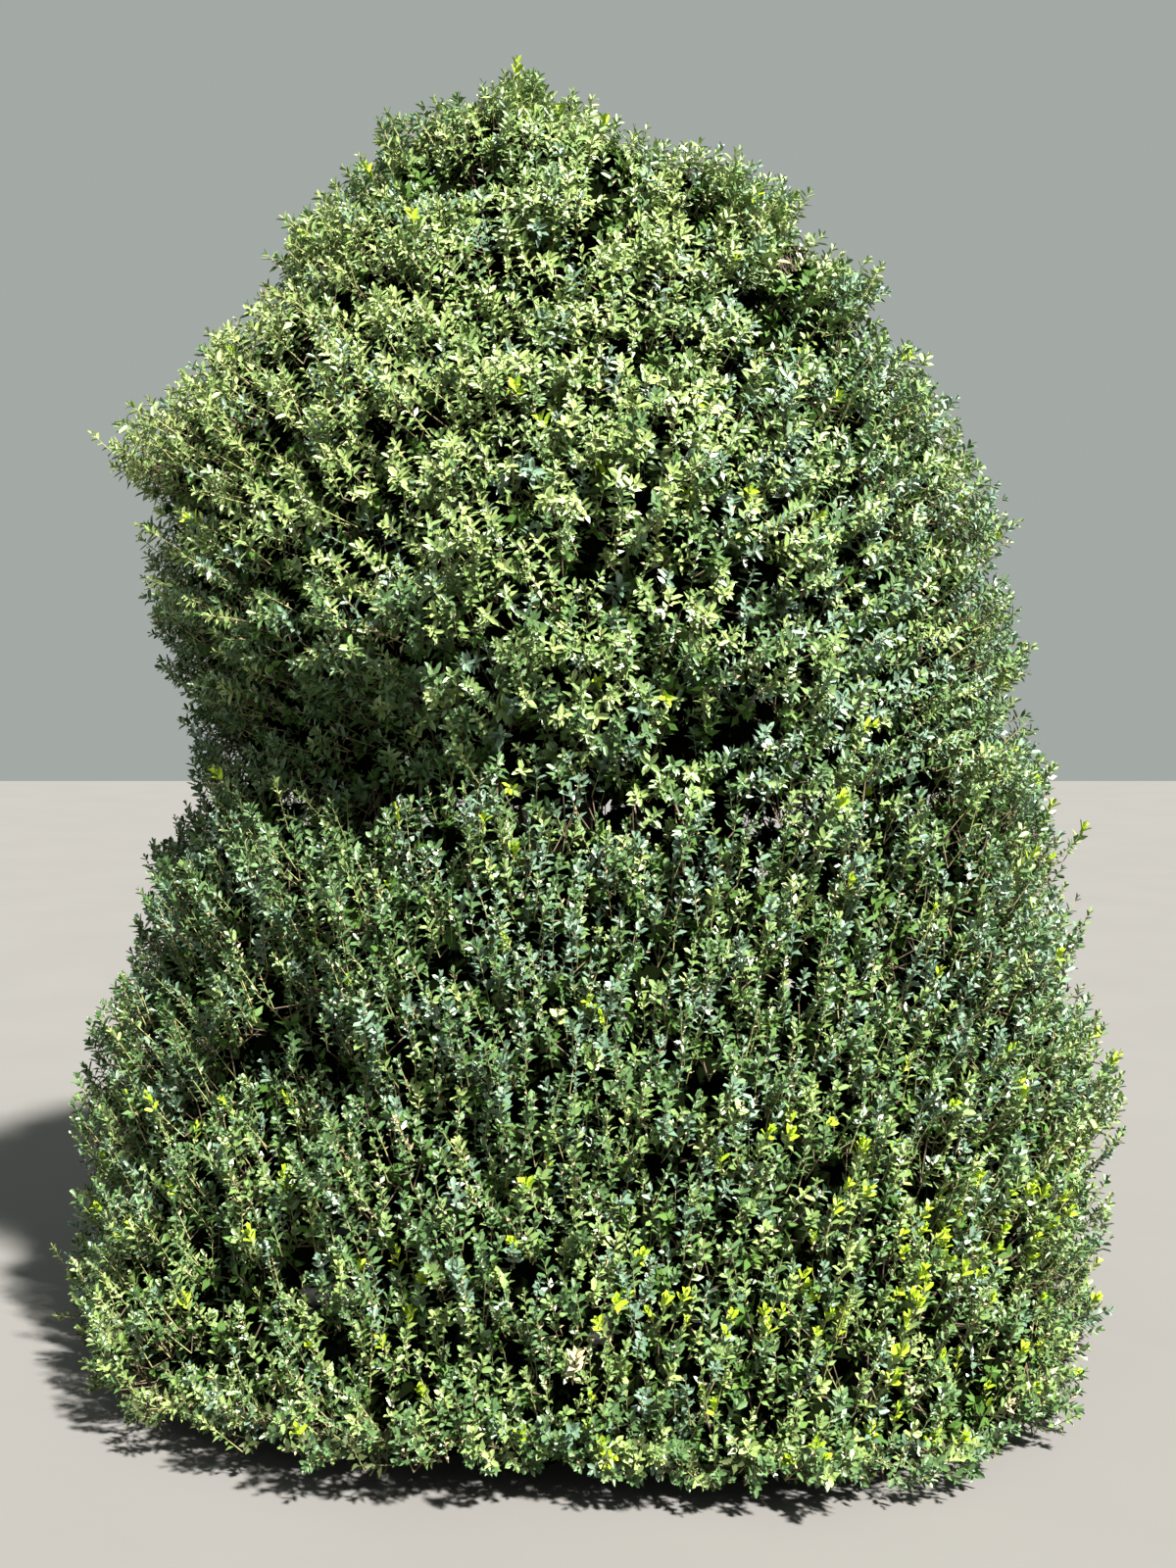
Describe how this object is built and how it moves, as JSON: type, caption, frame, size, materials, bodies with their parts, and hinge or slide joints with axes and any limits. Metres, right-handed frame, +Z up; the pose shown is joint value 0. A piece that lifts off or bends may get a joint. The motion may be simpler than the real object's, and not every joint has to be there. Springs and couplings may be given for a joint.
{
  "type": "boxwood cone topiary",
  "caption": "Clipped boxwood shrub, a broad cone grown out a little, with a short hidden trunk, boughs and dense masses of foliage.",
  "frame": {"origin": "middle of the flat cut under the trunk, at ground level", "axes": "+Z up along the trunk, -Y towards the front of the plant as pictured, +X towards its right-hand side"},
  "size_m": [2.1524, 2.2003, 2.6435],
  "materials": {
    "bark": "rough grey-brown bark",
    "foliage_lower": "dark glossy leaves",
    "foliage_upper": "mid-green satin leaves",
    "foliage_top": "light green satin leaves"
  },
  "bodies": {
    "root": {"trunk": "bark", "bough_lower_front": "bark", "bough_lower_front_right": "bark", "bough_lower_back_right": "bark", "bough_lower_back": "bark", "bough_lower_back_left": "bark", "bough_lower_front_left": "bark", "bough_upper_front": "bark", "bough_upper_right": "bark", "bough_upper_back_right": "bark", "bough_upper_back_left": "bark", "bough_upper_left": "bark", "bough_top": "bark", "foliage_lower_front": "foliage_lower", "foliage_lower_front_right": "foliage_lower", "foliage_lower_back_right": "foliage_lower", "foliage_lower_back": "foliage_lower", "foliage_lower_back_left": "foliage_lower", "foliage_lower_front_left": "foliage_lower", "foliage_upper_front": "foliage_upper", "foliage_upper_right": "foliage_upper", "foliage_upper_back_right": "foliage_upper", "foliage_upper_back_left": "foliage_upper", "foliage_upper_left": "foliage_upper", "foliage_top": "foliage_top"}
  },
  "joints": []
}
